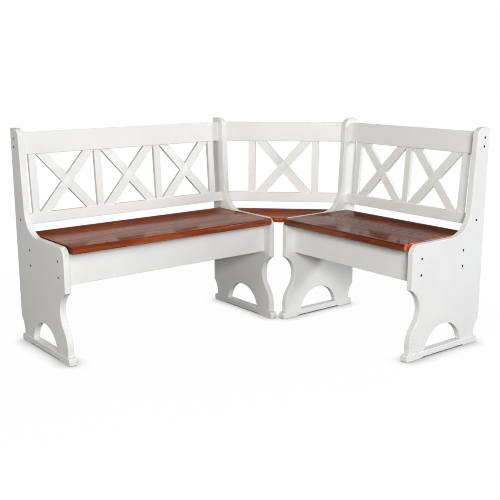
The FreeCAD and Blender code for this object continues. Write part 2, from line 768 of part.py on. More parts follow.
corner_rail("corner_lower_rail", 0, d.lower_rail_height, d.lower_rail_height, corner_rail_spots[2:])
corner_rail("corner_top_rail", bay_top, d.top_rail_height, 0, corner_rail_spots[:2])
slats("corner", corner_place, 2)


def corner_seat(label, place):
    """The fixed seat board, a blunt triangle that fills the corner between the panels."""
    body = new_body(label)
    profile = new_sketch(body, "XY_Plane", corner_seat_bottom)
    gap = d.corner_seat_gap * diagonal
    rear = d.corner_seat_rear_depth
    front = d.panel_depth / diagonal
    rear_half = half_diagonal - rear - gap
    front_half = half_diagonal - front - gap
    outline(profile, [(-rear_half, -rear), (-front_half, -front),
                      (front_half, -front), (rear_half, -rear)])
    plank = pad(body, profile, d.corner_seat_thick)
    level = lambda edge: edge.BoundBox.ZLength < 0.001
    ease("Chamfer", body, plank, level, d.seat_ease)
    return finish(body, place)


corner_seat("corner_seat", corner_place)
cleat_length = cleat_front - cleat_rear
cleat_blank = box("cleat_blank", d.cleat_width, cleat_length, d.cleat_height)
cleat_seat = d.cleat_width - d.cleat_screw_sink
cleat_drills = []
for y in (d.cleat_screw_inset, cleat_length - d.cleat_screw_inset):
    bore = at(0, y, d.cleat_height / 2, (0, 1, 0), 90)
    sink = at(cleat_seat, y, d.cleat_height / 2, (0, 1, 0), 90)
    cleat_drills.append(cylinder("cleat_bore", d.screw_radius + d.bore_clearance, d.cleat_width, bore))
    cleat_drills.append(cylinder("cleat_sink", d.screw_head_radius + d.head_clearance,
                                 d.cleat_width, sink))
cleat_drilling = doc.addObject("Part::MultiFuse", "cleat_drilling")
cleat_drilling.Shapes = cleat_drills
seat_cleat = doc.addObject("Part::Cut", "seat_cleat")
seat_cleat.Base, seat_cleat.Tool = cleat_blank, cleat_drilling
doc.recompute()
cleat_level = corner_seat_bottom - d.cleat_height
group("corner_seat_cleats", seat_cleat, [
    long_face * at(0, -cleat_front, cleat_level),
    short_face * at(0, -cleat_rear, cleat_level, (0, 0, 1), 180)])
for face, side in panel_faces:
    for y, z in cleat_spots:
        frame_screw_places.append(face * at(side * cleat_seat, y, z, (0, 1, 0), side * 90))

# Fasteners.

bolt = new_body("bolt")
bolt_profile = new_sketch(bolt, "XZ_Plane")
outline(bolt_profile, [
    (0, -d.bolt_length),
    (d.bolt_radius, -d.bolt_length),
    (d.bolt_radius, 0),
    (d.bolt_head_radius, 0),
    (d.bolt_head_radius, d.bolt_head_height),
    (d.bolt_socket_radius, d.bolt_head_height),
    (d.bolt_socket_radius, d.bolt_head_height - d.bolt_socket_depth),
    (0, d.bolt_head_height - d.bolt_socket_depth),
])
revolve(bolt, bolt_profile)
group("panel_bolts", bolt, bolt_places)

nut = new_body("nut")
nut_profile = new_sketch(nut, "XY_Plane")
circle(nut_profile, 0, 0, d.nut_radius)
pad(nut, nut_profile, d.nut_length, both_ways=True)
nut_bore = new_sketch(nut, "YZ_Plane")
circle(nut_bore, 0, 0, d.bolt_radius + d.bore_clearance)
pocket(nut, nut_bore, 2 * d.nut_radius + d.drill_spare, both_ways=True)
group("barrel_nuts", nut, nut_places)

group("foot_screws", screw("foot_screw", d.foot_screw_length), foot_screw_places)
group("frame_screws", screw("frame_screw", d.frame_screw_length), frame_screw_places)

# Check and export.

doc.recompute()
for item in doc.Objects:
    if "Invalid" in item.State or "Error" in item.State:
        raise RuntimeError("%s is in state %s" % (item.Label, item.State))
os.makedirs("parts", exist_ok=True)
for item in sub_parts:
    shape = item.Shape
    if shape.isNull() or not shape.isValid() or not shape.Solids:
        raise RuntimeError(item.Label + " has no valid solid")
    shape.exportStep("parts/%s.step" % item.Label)
    print("%-28s %3d solid(s) %12.0f mm3" % (item.Label, len(shape.Solids), shape.Volume))
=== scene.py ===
import math
import bpy
import numpy as np
from mathutils import Matrix, Vector
from mathutils.geometry import delaunay_2d_cdt


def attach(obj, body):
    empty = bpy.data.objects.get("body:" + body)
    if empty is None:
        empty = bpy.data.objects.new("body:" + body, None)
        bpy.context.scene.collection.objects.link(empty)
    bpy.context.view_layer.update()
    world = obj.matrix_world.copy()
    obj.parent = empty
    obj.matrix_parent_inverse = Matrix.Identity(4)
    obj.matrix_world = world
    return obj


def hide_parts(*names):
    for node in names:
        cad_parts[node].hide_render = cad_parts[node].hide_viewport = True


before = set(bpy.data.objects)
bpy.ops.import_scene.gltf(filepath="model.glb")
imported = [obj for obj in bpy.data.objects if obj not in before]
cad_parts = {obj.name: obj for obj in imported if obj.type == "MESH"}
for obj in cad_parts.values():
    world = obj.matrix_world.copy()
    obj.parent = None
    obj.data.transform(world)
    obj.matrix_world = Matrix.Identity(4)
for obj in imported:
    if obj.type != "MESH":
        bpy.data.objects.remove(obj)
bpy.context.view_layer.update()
print("frame loaded:", len(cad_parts), "nodes")

# Shapes are in millimetres and become metres where a mesh is made. Finishes and the studio are in metres.
# Each unit has X along its length, its rear plane at Y = 0 and its front towards -Y.

metre = 1000
layout = {
    "longLength": 990, "shortLength": 725, "cornerOffset": 433, "totalHeight": 850,
    "panelThick": 25, "panelDepth": 408, "armHeight": 443, "footHeight": 27,
    "footProud": 3, "backLean": 4.3, "backDepth": 61.4, "backBase": 477,
    "railThick": 24, "lowerRail": 42, "topRail": 85, "bayHeight": 230, "bayWidth": 255,
    "stileWidth": 30, "slatThick": 15,
    "lidBottom": 419, "seatTop": 446, "lidGap": 4.5,
}


def turned(x=0, y=0, z=0, axis="Z", angle=0):
    # a place as a 4 x 4 matrix: turned by an angle in degrees about an axis, then moved
    move = Matrix.Translation((x, y, z)) @ Matrix.Rotation(math.radians(angle), 4, axis)
    return np.array(move)


cornerX = (layout["longLength"] + layout["footProud"] - layout["cornerOffset"]) / 2
cornerY = (layout["cornerOffset"] + layout["shortLength"] + layout["footProud"]) / 2
halfDiagonal = layout["cornerOffset"] / math.sqrt(2)
units = {
    "long": turned(cornerX - layout["longLength"] / 2, cornerY),
    "short": turned(cornerX + layout["cornerOffset"],
                    cornerY - layout["cornerOffset"] - layout["shortLength"] / 2, angle=-90),
    "corner": turned(cornerX + layout["cornerOffset"] / 2,
                     cornerY - layout["cornerOffset"] / 2, angle=-45),
}
lengths = {"long": layout["longLength"], "short": layout["shortLength"]}
backFrame = turned(0, -layout["backDepth"], layout["backBase"], "X", -layout["backLean"])
bayTop = layout["lowerRail"] + layout["bayHeight"]
slatFront = (layout["railThick"] - layout["slatThick"]) / 2


# Sawn and planed boards.

smooth = {
    "arcStep": 2.5, "easePoints": 5, "roundPoints": 5,
    "leastTurn": 0.1,  # in radians; a corner that turns less isn't eased
    "mostLeg": 0.48,  # the share of a run that an easing may take
    "easeOverEdge": 1.05, "leastEase": 0.7,  # an outline is eased a little more than its edges
}


def traceOutline(corners, easing):
    # A corner is (x, y), or (x, y, signed radius of the arc to the next corner), counter-clockwise. The
    # result is points and outward normals, with every sharp corner eased by a parabola between two legs:
    # point = (1 - t)^2 * start + 2 t (1 - t) * corner + t^2 * end.
    count = len(corners)
    spots = [np.array(corner[:2], float) for corner in corners]
    runs = []
    for i, corner in enumerate(corners):
        start, end = spots[i], spots[(i + 1) % count]
        chord = end - start
        reach = np.hypot(*chord)
        bend = corner[2] if len(corner) > 2 else 0
        if not bend:
            runs.append({"start": start, "way": chord / reach, "length": reach, "bend": 0})
            continue
        radius = abs(bend)
        rise = math.sqrt(max(radius ** 2 - reach ** 2 / 4, 0)) * math.copysign(1, bend)
        centre = (start + end) / 2 + np.array([-chord[1], chord[0]]) / reach * rise
        sweep = 2 * math.asin(min(reach / 2 / radius, 1))
        first = math.atan2(*(start - centre)[::-1])
        runs.append({"centre": centre, "first": first, "length": radius * sweep, "bend": bend})

    def along(run, s):  # points and tangents at distances s along a run
        s = np.asarray(s, float)[:, None]
        if not run["bend"]:
            return run["start"] + run["way"] * s, np.repeat(run["way"][None], len(s), 0)
        radius, sign = abs(run["bend"]), math.copysign(1, run["bend"])
        angle = run["first"] + sign * s / radius
        point = run["centre"] + radius * np.hstack([np.cos(angle), np.sin(angle)])
        return point, sign * np.hstack([-np.sin(angle), np.cos(angle)])

    legs = []
    for i in range(count):
        before, after = runs[i - 1], runs[i]
        wayIn, wayOut = along(before, [before["length"]])[1][0], along(after, [0])[1][0]
        angle = abs(math.atan2(wayIn[0] * wayOut[1] - wayIn[1] * wayOut[0], wayIn @ wayOut))
        leg = 0
        if angle > smooth["leastTurn"]:  # the parabola's tightest radius is the easing
            leg = easing * math.sin(angle / 2) / math.cos(angle / 2) ** 2
        legs.append(min(leg, smooth["mostLeg"] * before["length"], smooth["mostLeg"] * after["length"]))
    points, tangents = [], []
    t = np.linspace(0, 1, smooth["easePoints"] + 2)[1:-1, None]
    for i, run in enumerate(runs):
        after = (i + 1) % count
        low, high = legs[i], run["length"] - legs[after]
        pieces = 1 if not run["bend"] else max(2, int(np.ceil((high - low) / smooth["arcStep"])))
        point, tangent = along(run, np.linspace(low, high, pieces + 1))
        if legs[after] == 0:
            points.append(point[:-1])
            tangents.append(tangent[:-1])
            continue
        start, knot, end = point[-1], spots[after], along(runs[after], [legs[after]])[0][0]
        way = (1 - t) * (knot - start) + t * (end - knot)
        points += [point, (1 - t) ** 2 * start + 2 * t * (1 - t) * knot + t ** 2 * end]
        tangents += [tangent, way / np.linalg.norm(way, axis=1, keepdims=True)]
    points, tangents = np.vstack(points), np.vstack(tangents)
    return points, np.stack([tangents[:, 1], -tangents[:, 0]], 1)


def gridFaces(rows, columns, first=0):
    # quads between successive closed rings of a grid
    row = np.arange(rows - 1)[:, None] * columns + first
    column = np.arange(columns)[None]
    after = (column + 1) % columns
    quads = np.stack([row + column, row + after, row + columns + after, row + columns + column], -1)
    return quads.reshape(-1, 4)


def makeObject(name, points, faces, normals, material, place, bored=()):
    # points in mm in a unit's frame; normals are one per face corner; bored faces are the holes', and
    # take the near-black painted shade of the holes
    spots = points @ place[:3, :3].T + place[:3, 3]
    mesh = bpy.data.meshes.new(name)
    mesh.from_pydata((spots / metre).tolist(), [], faces)
    mesh.polygons.foreach_set("use_smooth", np.ones(len(mesh.polygons), bool))
    mesh.normals_split_custom_set((normals @ place[:3, :3].T).tolist())
    mesh.materials.append(material)
    if len(bored):
        mesh.materials.append(paintedHoleShade)
        finish = np.zeros(len(faces), int)
        finish[list(bored)] = 1
        mesh.polygons.foreach_set("material_index", finish)
    piece = bpy.data.objects.new(name, mesh)
    bpy.context.scene.collection.objects.link(piece)
    return piece


def pierceFace(ring, outline, side, level, holes, first):
    # A flat face with round bores. A bore is a circle carried along a profile of (radius, depth), closed
    # by a floor; first is the index of its first point. What is left of the face is a triangulation
    # between the outline and the mouths. The bores' faces come before it, and their number is returned.
    turns = np.linspace(0, 2 * math.pi, holes["segments"], endpoint=False)
    circle = np.stack([np.cos(turns), np.sin(turns)], 1)
    count, radius = len(circle), holes["radius"]
    profile = [(radius + holes["bevel"], 0), (radius, holes["bevel"]), (radius, holes["depth"])]
    inward = np.vstack([np.column_stack([-circle, np.zeros(count)])] * len(profile))
    facing = np.array([[0, 0, side]], float)
    spots = np.array(holes["spots"])
    points, faces, normals = [], [], []
    loops, flat = [ring], [outline]
    for spot in spots:
        wall = [np.column_stack([spot + circle * r, np.full(count, level - side * deep)])
                for r, deep in profile]
        quads = gridFaces(len(profile), count, first)[:, ::-side]
        floor = np.arange(count) + first + count * (len(profile) - 1)
        points += wall
        faces += quads.tolist() + [floor[::side].tolist()]
        normals += [inward[(quads - first).reshape(-1)], np.repeat(facing, count, 0)]
        loops.append(np.arange(count) + first)
        flat.append(wall[0][:, :2])
        first += count * len(profile)
    boredCount = len(faces)
    indices = np.concatenate(loops)
    runs = np.split(np.arange(len(indices)), np.cumsum([len(loop) for loop in loops])[:-1])
    edges = np.vstack([np.column_stack([run, np.roll(run, -1)]) for run in runs]).tolist()
    insideOnly, nearness = 1, 1e-7
    result = delaunay_2d_cdt([Vector(spot) for spot in np.vstack(flat)], edges, [], insideOnly, nearness)
    origins = np.array([origin[0] for origin in result[3]])
    triangles = np.array([list(corners) for corners in result[2]])
    middles = np.array([list(point) for point in result[0]])[triangles].mean(1)
    away = np.linalg.norm(middles[:, None] - spots[None], axis=2).min(1)
    triangles = indices[origins[triangles[away > radius]]][:, ::side]
    faces += triangles.tolist()
    normals.append(np.repeat(facing, triangles.size, 0))
    return points, faces, normals, boredCount


def makeSlab(name, corners, low, high, edge, place, material, holes=None, upright=True, easing=None):
    # An outline (u, v) carried from w = low to w = high. The surface is a grid over the outline and
    # an edge parameter: near each face the outline shrinks by edge * (1 - sin a) while w moves by
    # edge * (1 - cos a), which is a quarter round. upright puts u, v, w on Y, Z, X.
    easing = easing or max(smooth["easeOverEdge"] * edge, smooth["leastEase"])
    outline, outward = traceOutline(corners, easing)
    count = len(outline)
    a = np.linspace(0, math.pi / 2, smooth["roundPoints"])
    inset, rise = edge * (1 - np.sin(a)), edge * (1 - np.cos(a))
    inset = np.concatenate([inset, inset[::-1]])[:, None, None]
    level = np.concatenate([low + rise, high - rise[::-1]])
    slope = np.concatenate([np.sin(a), np.sin(a)[::-1]])[:, None, None]
    tilt = np.concatenate([-np.cos(a), np.cos(a)[::-1]])
    grid = np.dstack([outline[None] - outward[None] * inset, np.repeat(level[:, None], count, 1)])
    gridNormals = np.dstack([outward[None] * slope, np.repeat(tilt[:, None], count, 1)])
    quads = gridFaces(len(level), count)
    points, normals = [grid.reshape(-1, 3)], [gridNormals.reshape(-1, 3)[quads.reshape(-1)]]
    faces, bored = quads.tolist(), []
    for side, row in ((-1, 0), (1, len(level) - 1)):
        ring = np.arange(count) + row * count
        if not holes or holes["side"] != side:
            faces.append(ring[::side].tolist())
            normals.append(np.repeat([[0.0, 0.0, side]], count, 0))
            continue
        morePoints, moreFaces, moreNormals, boredCount = pierceFace(
            ring, grid[row, :, :2], side, level[row], holes, first=len(level) * count)
        bored = range(len(faces), len(faces) + boredCount)
        points += morePoints
        faces += moreFaces
        normals += moreNormals
    points, normals = np.vstack(points), np.vstack(normals)
    if upright:
        points, normals = points[:, [2, 0, 1]], normals[:, [2, 0, 1]]
    return makeObject(name, points, faces, normals, material, place, bored)


# Materials.

def newMaterial(name):
    material = bpy.data.materials.new(name)
    material.use_nodes = True
    return material, material.node_tree, material.node_tree.nodes["Principled BSDF"]


def setInputs(node, values):
    for name, value in values.items():
        node.inputs[name].default_value = value


def mappingNode(tree, vector, location=(0, 0, 0), rotation=(0, 0, 0), scale=(1, 1, 1)):
    node = tree.nodes.new("ShaderNodeMapping")
    setInputs(node, {"Location": location, "Rotation": rotation, "Scale": scale})
    tree.links.new(vector, node.inputs["Vector"])
    return node.outputs["Vector"]


def grainSpace(tree, turn, middle=(0, 0, 0)):
    # object coordinates about a middle, turned so that the grain runs along X
    place = tree.nodes.new("ShaderNodeTexCoord").outputs["Object"]
    if any(middle):
        place = mappingNode(tree, place, location=[-x for x in middle])
    return mappingNode(tree, place, rotation=turn)


def mathNode(tree, operation, *values):
    node = tree.nodes.new("ShaderNodeMath")
    node.operation = operation
    for socket, value in zip(node.inputs, values):
        if isinstance(value, (int, float)):
            socket.default_value = value
        else:
            tree.links.new(value, socket)
    return node.outputs[0]


def lengthNode(tree, vector):
    node = tree.nodes.new("ShaderNodeVectorMath")
    node.operation = "LENGTH"
    tree.links.new(vector, node.inputs[0])
    return node.outputs["Value"]


def fadeNode(tree, value, near, far, atNear, atFar):
    node = tree.nodes.new("ShaderNodeMapRange")
    setInputs(node, {"From Min": near, "From Max": far, "To Min": atNear, "To Max": atFar})
    tree.links.new(value, node.inputs["Value"])
    return node.outputs["Result"]


def noiseNode(tree, vector, scale=1, detail=2, roughness=0.5, distortion=0, stretch=None):
    # stretch scales the coordinates, least along the grain
    if stretch:
        vector = mappingNode(tree, vector, scale=stretch)
    node = tree.nodes.new("ShaderNodeTexNoise")
    setInputs(node, {"Scale": scale, "Detail": detail, "Roughness": roughness, "Distortion": distortion})
    tree.links.new(vector, node.inputs["Vector"])
    return node.outputs["Fac"]


def rampNode(tree, value, stops):
    node = tree.nodes.new("ShaderNodeValToRGB")
    ramp = node.color_ramp
    while len(ramp.elements) < len(stops):
        ramp.elements.new(0.5)
    for element, (position, colour) in zip(ramp.elements, stops):
        element.position = position
        element.color = (*colour, 1)
    tree.links.new(value, node.inputs["Fac"])
    return node.outputs["Color"]


def bumpNode(tree, height, strength, distance, before=None):
    node = tree.nodes.new("ShaderNodeBump")
    setInputs(node, {"Strength": strength, "Distance": distance})
    tree.links.new(height, node.inputs["Height"])
    if before is not None:
        tree.links.new(before, node.inputs["Normal"])
    return node.outputs["Normal"]


def shaded(colour, share):
    return tuple(share * c for c in colour)


# Each noise has its scale per metre, detail and so on; each bump its strength and depth.

paint = {
    "light": (0.845, 0.856, 0.858), "lightFrom": 0.62, "shade": (0.81, 0.818, 0.818), "shadeTo": 0.3,
    "cloud": {"scale": 5},
    "grain": {"stretch": (2.2, 60, 60), "scale": 6, "detail": 3, "roughness": 0.6},
    "grainBump": (0.1, 0.0006),
    "spray": {"scale": 420, "detail": 1}, "sprayBump": (0.05, 0.0003),
    "roughness": 0.4, "specular": 0.35,
}


def makePaint(name, turn):
    # satin white paint: faint spray texture and the grain of the pine under it
    material, tree, shader = newMaterial(name)
    place = grainSpace(tree, turn)
    cloud = noiseNode(tree, place, **paint["cloud"])
    stops = [(paint["shadeTo"], paint["shade"]), (paint["lightFrom"], paint["light"])]
    tree.links.new(rampNode(tree, cloud, stops), shader.inputs["Base Color"])
    grain = bumpNode(tree, noiseNode(tree, place, **paint["grain"]), *paint["grainBump"])
    spray = bumpNode(tree, noiseNode(tree, place, **paint["spray"]), *paint["sprayBump"], grain)
    tree.links.new(spray, shader.inputs["Normal"])
    setInputs(shader, {"Roughness": paint["roughness"], "Specular IOR Level": paint["specular"]})
    return material


stain = {
    "dark": (0.14, 0.020, 0.0035), "middle": (0.29, 0.053, 0.010), "light": (0.52, 0.14, 0.033),
    "darkTo": 0.36, "middleAt": 0.5, "lightFrom": 0.68,
    "ringSpacing": 0.0042, "ringTaper": 0.12, "ringNear": 0.03, "ringFar": 0.10, "heartDepth": 0.045,
    "ringBend": 0.009, "bend": {"stretch": (9, 30, 30), "detail": 3},
    "streaks": {"stretch": (3.2, 55, 55), "detail": 6, "roughness": 0.72, "distortion": 0.7},
    "pores": {"stretch": (30, 300, 300), "detail": 3}, "poreBump": (0.25, 0.0003),
    "paintedEndDepth": 0.0005,
    "roughness": 0.5, "specular": 0.05, "coat": 0.36, "coatIor": 1.8, "coatRoughness": 0.06,
}
# the tone of each seat's ends is painted shade on the long seat and painted light on the short seat
seatLooks = {  # the middle of each seat, its tone, the tone of its ends and how strongly its rings show
    "long": {"grain": "alongX", "middle": (-0.215, 0.34), "tone": 0.92, "ends": 0.3, "rings": 0.07},
    "short": {"grain": "alongY", "middle": (0.47, -0.215), "tone": 0.6, "ends": 2.6, "rings": 0.17},
    "corner": {"grain": "alongDiagonal", "middle": (0.6, 0.46), "tone": 1.2, "ends": 1.0, "rings": 0.07},
}


def growthRings(tree, place, apart, strength):
    # Round the heart below the board's middle line the rings of flat-sawn pine are narrow cones,
    # ring = sqrt(y^2 + z^2) + taper * x, bent by slow noise, so they show as arches. Further off they
    # are too fine to see, so they fade with y.
    radius = lengthNode(tree, mappingNode(tree, place, scale=(0, 1, 1)))
    cone = mathNode(tree, "MULTIPLY_ADD", apart["X"], stain["ringTaper"], radius)
    bend = noiseNode(tree, place, **stain["bend"])
    bent = mathNode(tree, "MULTIPLY_ADD", bend, stain["ringBend"], cone)
    wave = mathNode(tree, "SINE", mathNode(tree, "MULTIPLY", bent, 2 * math.pi / stain["ringSpacing"]))
    across = mathNode(tree, "ABSOLUTE", apart["Y"])
    return wave, fadeNode(tree, across, stain["ringNear"], stain["ringFar"], strength, 0)


def paintEndLightAndShade(tree, colour, along, half, tone):
    # painted light and shade on the ends: colour * tone beyond half the board's length, which darkens the
    # long seat's ends as painted shade and lightens the short seat's ends as painted light
    paintedEndMask = mathNode(tree, "GREATER_THAN", mathNode(tree, "ABSOLUTE", along), half - stain["paintedEndDepth"])
    node = tree.nodes.new("ShaderNodeVectorMath")
    node.operation = "SCALE"
    tree.links.new(colour, node.inputs[0])
    tree.links.new(mathNode(tree, "MULTIPLY_ADD", paintedEndMask, tone - 1, 1), node.inputs["Scale"])
    return node.outputs["Vector"]


def makeStain(unit, look):
    # Reddish-brown stain under varnish: streaks and pores run along the grain, rings show between them.
    material, tree, shader = newMaterial("stainedPine_" + unit)
    heart = (*look["middle"], layout["seatTop"] / metre - stain["heartDepth"])
    place = grainSpace(tree, grainTurns[look["grain"]], heart)
    apart = tree.nodes.new("ShaderNodeSeparateXYZ")
    tree.links.new(place, apart.inputs[0])
    wave, strength = growthRings(tree, place, apart.outputs, look["rings"])
    level = mathNode(tree, "MULTIPLY_ADD", wave, strength, noiseNode(tree, place, **stain["streaks"]))
    stops = [(stain["darkTo"], stain["dark"]), (stain["middleAt"], stain["middle"]),
             (stain["lightFrom"], stain["light"])]
    colour = rampNode(tree, level, [(position, shaded(tone, look["tone"])) for position, tone in stops])
    half = lengths.get(unit, 0) / 2 - layout["panelThick"] - layout["lidGap"]
    # the ends of each board get their painted light and shade
    colour = paintEndLightAndShade(tree, colour, apart.outputs["X"], half / metre, look["ends"])
    tree.links.new(colour, shader.inputs["Base Color"])
    pores = bumpNode(tree, noiseNode(tree, place, **stain["pores"]), *stain["poreBump"])
    for socket in ("Normal", "Coat Normal"):
        tree.links.new(pores, shader.inputs[socket])
    setInputs(shader, {
        "Roughness": stain["roughness"], "Specular IOR Level": stain["specular"],
        "Coat Weight": stain["coat"], "Coat IOR": stain["coatIor"],
        "Coat Roughness": stain["coatRoughness"],
    })
    return material


bareWood = {
    "light": (0.70, 0.52, 0.33), "lightFrom": 0.6, "dark": (0.50, 0.34, 0.19), "darkTo": 0.3,
    "grain": {"stretch": (1.2, 22, 22), "scale": 4, "detail": 4, "roughness": 0.6, "distortion": 0.8},
    "grainBump": (0.15, 0.0005), "roughness": 0.6, "paintedShadeInHoles": 0.015,
}


def makeBareWood(name, turn, shade=1.0):
    # unpainted pine; shade scales its colour down, which gives the near-black painted shade inside the
    # holes
    material, tree, shader = newMaterial(name)
    grain = noiseNode(tree, grainSpace(tree, turn), **bareWood["grain"])
    stops = [(bareWood["darkTo"], shaded(bareWood["dark"], shade)),
             (bareWood["lightFrom"], shaded(bareWood["light"], shade))]
    tree.links.new(rampNode(tree, grain, stops), shader.inputs["Base Color"])
    tree.links.new(bumpNode(tree, grain, *bareWood["grainBump"]), shader.inputs["Normal"])
    setInputs(shader, {"Roughness": bareWood["roughness"]})
    return material


steel = {
    "hinge": (0.55, 0.54, 0.50), "hingeRoughness": 0.35,
    # the heads of the bolts are near black: a black finish, darkened further as painted shade in the
    # counterbores
    "bolt": (0.012, 0.012, 0.012), "boltRoughness": 0.6,
    "mottle": {"scale": 900}, "mottleBump": (0.08, 0.0001),
    "darker": 0.75, "darkTo": 0.35, "lightFrom": 0.65,
}


def makeSteel(name, colour, roughness):
    # plated steel with a fine mottle in its sheen
    material, tree, shader = newMaterial(name)
    mottle = noiseNode(tree, grainSpace(tree, grainTurns["alongX"]), **steel["mottle"])
    stops = [(steel["darkTo"], shaded(colour, steel["darker"])), (steel["lightFrom"], colour)]
    tree.links.new(rampNode(tree, mottle, stops), shader.inputs["Base Color"])
    tree.links.new(bumpNode(tree, mottle, *steel["mottleBump"]), shader.inputs["Normal"])
    setInputs(shader, {"Metallic": 1.0, "Roughness": roughness})
    return material


grainTurns = {
    "alongX": (0, 0, 0), "alongY": (0, 0, math.pi / 2), "alongZ": (0, math.pi / 2, 0),
    "alongDiagonal": (0, 0, math.pi / 4),
}
paints = {way: makePaint("whitePaint_" + way, turn) for way, turn in grainTurns.items()}
stains = {unit: makeStain(unit, look) for unit, look in seatLooks.items()}
woods = {way: makeBareWood("bareWood_" + way, grainTurns[way]) for way in ("alongX", "alongY")}
# the counterbores' walls and floors: bare pine darkened to near black as painted shade
paintedHoleShade = makeBareWood("holePine_paintedShade", grainTurns["alongX"], shade=bareWood["paintedShadeInHoles"])
hingeSteel = makeSteel("hingeSteel", steel["hinge"], steel["hingeRoughness"])
boltSteel = makeSteel("boltSteel", steel["bolt"], steel["boltRoughness"])
print("materials made")


def dress(piece, node, body="frame"):
    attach(piece, body)
    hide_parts(node)


# End panels: the sawn outline, with eased edges and the counterbores of the bolts.

panel = {
    "edge": 2.5, "topDepth": 66.5, "topRound": 35, "frontLean": 3.3, "backCurve": 100, "armRound": 35,
    "coveRadius": 90, "coveBite": 50, "coveHeight": 193, "toeRise": 33,
    "archRadius": 108, "archDepth": 214.5, "archDrop": 19.5,
    "heelStep": 26, "heelRadius": 89, "heelRise": 8,
    "sink": {"radius": 4.5, "depth": 7.5, "bevel": 0.4, "segments": 24},
    "apronBolts": (387.7, 325.7), "frontBoltDepth": 357, "rearBoltDepth": 118,
    "railBoltRises": (336, 303, 21),
}


def panelCorners():
    # From the rear of the top forwards and down, then back along the foot. A round between a level line
    # and the leaning front has its centre radius / cos(lean) from the leaning line, measured level. The
    # cove runs into the toe as a reverse curve, whose radii add up to (bite^2 + drop^2) / (2 bite).
    p, full, arm = panel, layout["totalHeight"], layout["armHeight"]
    depth, foot = layout["panelDepth"], layout["footHeight"]
    sine, cosine = math.sin(math.radians(p["frontLean"])), math.cos(math.radians(p["frontLean"]))
    slope = sine / cosine
    topCentre = p["topDepth"] + p["topRound"] * slope - p["topRound"] / cosine
    curveCentre = p["topDepth"] + (full - arm - p["backCurve"]) * slope + p["backCurve"] / cosine
    coveOut = p["coveRadius"] - p["coveBite"]
    coveReach = math.sqrt(p["coveRadius"] ** 2 - coveOut ** 2)
    toeHeight = foot + p["toeRise"]
    toeDrop = p["coveHeight"] - toeHeight
    radii = (p["coveBite"] ** 2 + toeDrop ** 2) / (2 * p["coveBite"])
    share = p["coveRadius"] / radii
    archHalf = math.sqrt(p["archRadius"] ** 2 - p["archDrop"] ** 2)
    heelBottom = foot + p["heelRise"]
    heelTop = heelBottom + math.sqrt(p["heelRadius"] ** 2 - (p["heelRadius"] - p["heelStep"]) ** 2)
    return [
        (0, full),
        (-topCentre, full, p["topRound"]),
        (-(topCentre + p["topRound"] * cosine), full - p["topRound"] * (1 - sine)),
        (-(curveCentre - p["backCurve"] * cosine), arm + p["backCurve"] * (1 - sine), -p["backCurve"]),
        (-curveCentre, arm),
        (-(depth - p["armRound"]), arm, p["armRound"]),
        (-depth, arm - p["armRound"]),
        (-depth, p["coveHeight"] + coveReach, -p["coveRadius"]),
        (-(depth + coveOut - share * (radii - p["coveBite"])), p["coveHeight"] - share * toeDrop,
         radii - p["coveRadius"]),
        (-depth, toeHeight),
        (-depth, foot),
        (-(p["archDepth"] + archHalf), foot, -p["archRadius"]),
        (-(p["archDepth"] - archHalf), foot),
        (-p["heelStep"], foot),
        (-p["heelStep"], heelBottom, -p["heelRadius"]),
        (0, heelTop),
    ]


def boltSpots():
    # three bolts in the middle of the leaning rails' thickness, and two at the end of each apron
    lean = math.radians(layout["backLean"])
    middle = layout["railThick"] / 2
    spots = [(middle * math.cos(lean) + rise * math.sin(lean) - layout["backDepth"],
              layout["backBase"] + rise * math.cos(lean) - middle * math.sin(lean))
             for rise in panel["railBoltRises"]]
    for depth in (panel["frontBoltDepth"], panel["rearBoltDepth"]):
        spots += [(-depth, height) for height in panel["apronBolts"]]
    return spots


footBar = {
    "rear": 8, "front": 422, "nose": 9, "heel": 8, "toe": 3, "relief": 4.5, "pad": 78, "slope": 14,
    "edge": 2,
}


def footCorners():
    # from the rear of the top forwards, then back along the two pads and the relief between them
    f, top = footBar, layout["footHeight"]
    return [
        (-(f["rear"] + f["heel"]), top),
        (-(f["front"] - f["nose"]), top, f["nose"]),
        (-f["front"], top - f["nose"]),
        (-f["front"], f["toe"], f["toe"]),
        (-(f["front"] - f["toe"]), 0),
        (-(f["front"] - f["pad"]), 0),
        (-(f["front"] - f["pad"] - f["slope"]), f["relief"]),
        (-(f["rear"] + f["pad"] + f["slope"]), f["relief"]),
        (-(f["rear"] + f["pad"]), 0),
        (-(f["rear"] + f["heel"]), 0, f["heel"]),
        (-f["rear"], f["heel"]),
        (-f["rear"], top - f["heel"], f["heel"]),
    ]


for unit, inner in (("long", 1), ("short", -1)):
    for name, side in (("end", -inner), ("inner", inner)):
        thick, outer = layout["panelThick"], side * lengths[unit] / 2
        low, high = sorted((outer, outer - side * thick))
        holes = {**panel["sink"], "side": side, "spots": boltSpots()}
        node = "%s_%s_panel" % (unit, name)
        piece = makeSlab(node + "_sawn", panelCorners(), low, high, panel["edge"], units[unit],
                         paints["alongZ"], holes)
        dress(piece, node)
        middle = outer - side * thick / 2
        reach = thick / 2 + layout["footProud"]
        node = "%s_%s_foot" % (unit, name)
        piece = makeSlab(node + "_bar", footCorners(), middle - reach, middle + reach, footBar["edge"],
                         units[unit], paints["alongY" if unit == "long" else "alongX"])
        dress(piece, node)
print("panels and feet made")


# Rails and aprons: an eased rectangle carried along X.

rail = {"edge": 2, "endEdge": 0.25}
apron = {"edge": 2, "height": 126, "thick": 20, "top": 418.7, "frontDepth": 367, "rearDepth": 108}


def oblong(lowX, highX, lowY, highY):
    return [(lowX, lowY), (highX, lowY), (highX, highY), (lowX, highY)]


def makeBoard(node, thick, height, reach, place, grain, easing):
    # a board from X = -reach to reach; its long edges are eased and its sawn ends nearly sharp
    piece = makeSlab(node + "_planed", oblong(0, thick, 0, height), -reach, reach, rail["endEdge"],
                     place, paints[grain], easing=easing)
    dress(piece, node)


